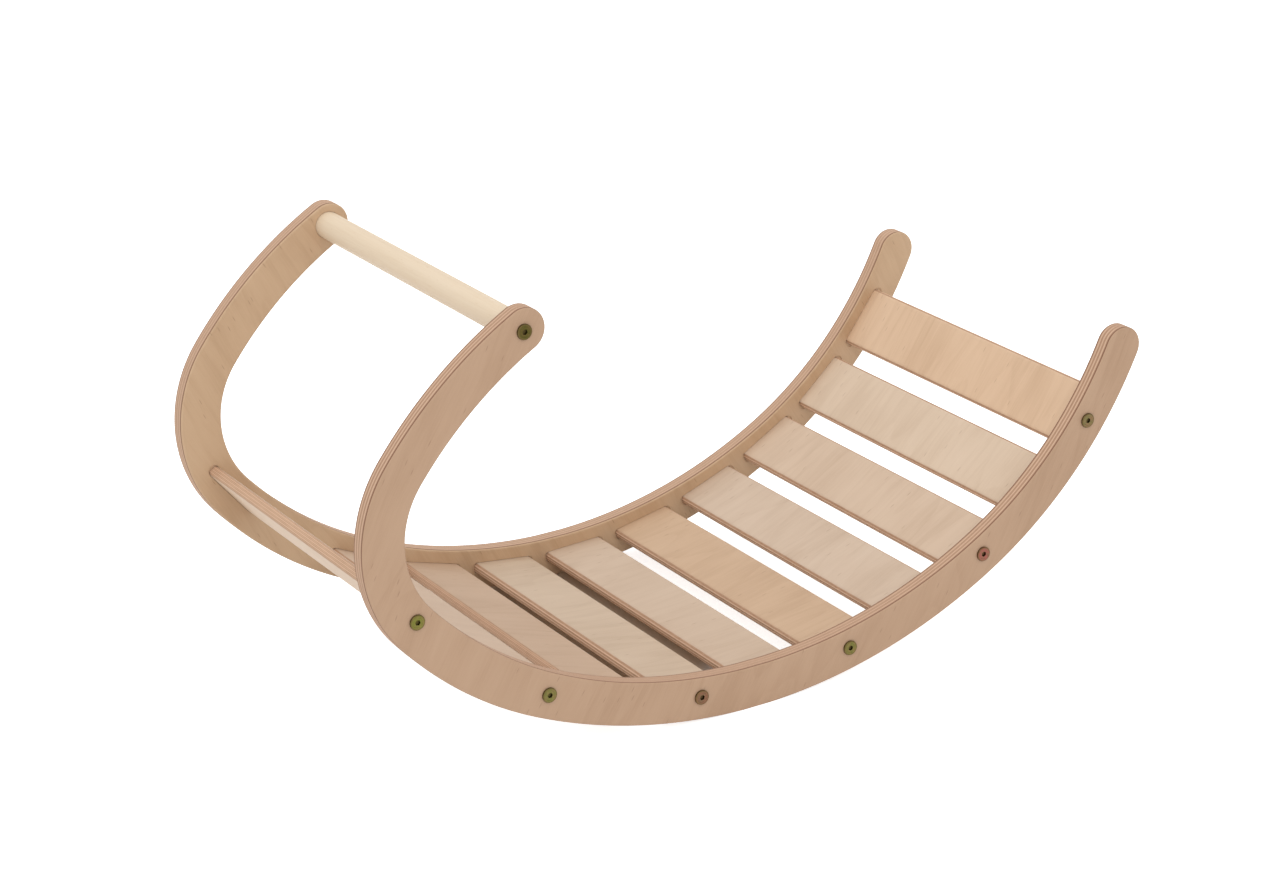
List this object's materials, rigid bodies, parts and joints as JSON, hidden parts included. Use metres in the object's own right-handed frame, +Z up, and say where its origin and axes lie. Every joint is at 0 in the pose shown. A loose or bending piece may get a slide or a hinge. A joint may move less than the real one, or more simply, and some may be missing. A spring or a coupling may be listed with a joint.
{
  "type": "climbing arch rocker",
  "caption": "Plywood climbing arch that rocks on two hooked side boards joined by flat slats and a round handle.",
  "frame": {"origin": "on the floor, at the middle of the bounding box's footprint", "axes": "+X along the rocker from the hooked handle end to the ramp tip, +Y across it from the near side board to the far one, +Z up"},
  "size_m": [0.8776, 0.4146, 0.4564],
  "materials": {
    "board_birch": "clear matt lacquer on birch plywood",
    "slat_birch": "clear matt lacquer on birch plywood",
    "handle_beech": "clear matt lacquer on a turned dowel",
    "screw_zinc": "yellow passivated zinc, satin"
  },
  "bodies": {
    "root": {"side_board_near": "board_birch", "side_board_far": "board_birch", "slat_01": "slat_birch", "slat_02": "slat_birch", "slat_03": "slat_birch", "slat_04": "slat_birch", "slat_05": "slat_birch", "slat_06": "slat_birch", "slat_07": "slat_birch", "slat_08": "slat_birch", "slat_09": "slat_birch", "slat_10": "slat_birch", "handle": "handle_beech", "screw_near_slat_01": "screw_zinc", "screw_near_slat_03": "screw_zinc", "screw_near_slat_05": "screw_zinc", "screw_near_slat_07": "screw_zinc", "screw_near_slat_09": "screw_zinc", "screw_near_slat_10": "screw_zinc", "screw_near_handle": "screw_zinc", "screw_far_slat_01": "screw_zinc", "screw_far_slat_03": "screw_zinc", "screw_far_slat_05": "screw_zinc", "screw_far_slat_07": "screw_zinc", "screw_far_slat_09": "screw_zinc", "screw_far_slat_10": "screw_zinc", "screw_far_handle": "screw_zinc"}
  },
  "joints": []
}
